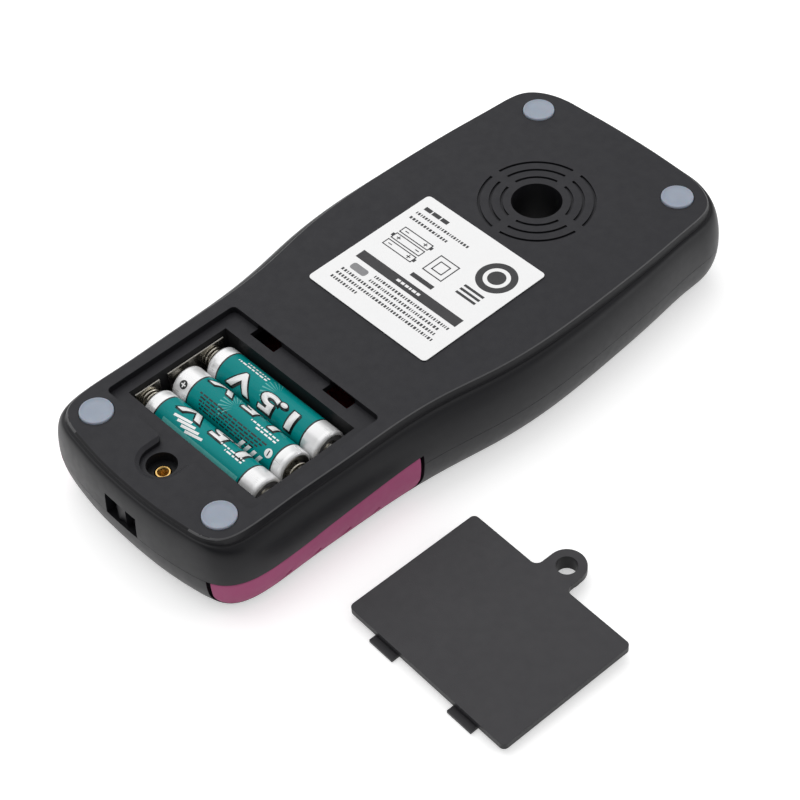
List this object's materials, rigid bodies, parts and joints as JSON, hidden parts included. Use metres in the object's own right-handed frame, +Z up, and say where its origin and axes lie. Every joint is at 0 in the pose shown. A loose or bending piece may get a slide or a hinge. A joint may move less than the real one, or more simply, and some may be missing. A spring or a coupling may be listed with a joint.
{
  "type": "stud finder",
  "caption": "Handheld wall scanner lying face down, battery cover off beside it: contoured housing with battery bay, soft side grips, marking hole, glide pads and keys.",
  "frame": {"origin": "on the flat front face that the tool lies on, on its middle line", "axes": "+X across the width, +Y along the length towards the head, +Z up out of the flat back"},
  "size_m": [0.1555, 0.1874, 0.0265],
  "materials": {
    "housing": "fine satin grain, dark grey",
    "grip": "matt, magenta",
    "pad": "smooth blue-grey glide",
    "label": "white sticker",
    "cell_wrap": "teal and silver sleeve",
    "nickel": "nickel-plated sheet",
    "spring_steel": "nickel-plated wire",
    "brass": "turned",
    "window": "polished",
    "display": "smooth",
    "key": "matt",
    "diffuser": "frosted",
    "board": "dark red solder mask",
    "coil": "wound enamelled copper wire",
    "black_plastic": "moulded",
    "zinc": "zinc plated"
  },
  "bodies": {
    "housing": {"back_shell": "housing", "front_shell": "housing", "grip_left": "grip", "grip_right": "grip", "rating_label": "label", "cover_insert": "brass", "light_ring": "diffuser", "display_lens": "window", "display_panel": "display", "main_board": "board", "sensor_board": "board", "sensor_coil": "coil", "buzzer": "black_plastic", "battery_cover": "housing", "contact_plate_short": "nickel", "contact_plate_long": "nickel", "contact_plate_link": "nickel", "contact_plate_single": "nickel", "battery_1": "cell_wrap", "battery_2": "cell_wrap", "battery_3": "cell_wrap", "contact_spring_1": "spring_steel", "contact_spring_2": "spring_steel", "contact_spring_3": "spring_steel", "foot_pad_1": "pad", "foot_pad_2": "pad", "foot_pad_3": "pad", "foot_pad_4": "pad", "shell_screw_1": "zinc", "shell_screw_2": "zinc", "shell_screw_3": "zinc", "shell_screw_4": "zinc", "switch_1": "black_plastic", "switch_2": "black_plastic", "switch_3": "black_plastic"},
    "power_key": {"key_power": "key"},
    "mode_key": {"key_mode": "key"},
    "light_key": {"key_light": "key"}
  },
  "joints": [
    {"name": "power_press", "type": "slide", "parent": "housing", "child": "power_key", "axis": [0, 0, 1], "range_m": [0, 0.0005], "stiffness_N_per_m": 2000},
    {"name": "mode_press", "type": "slide", "parent": "housing", "child": "mode_key", "axis": [0, 0, 1], "range_m": [0, 0.0005], "stiffness_N_per_m": 2000},
    {"name": "light_press", "type": "slide", "parent": "housing", "child": "light_key", "axis": [0, 0, 1], "range_m": [0, 0.0005], "stiffness_N_per_m": 2000}
  ]
}
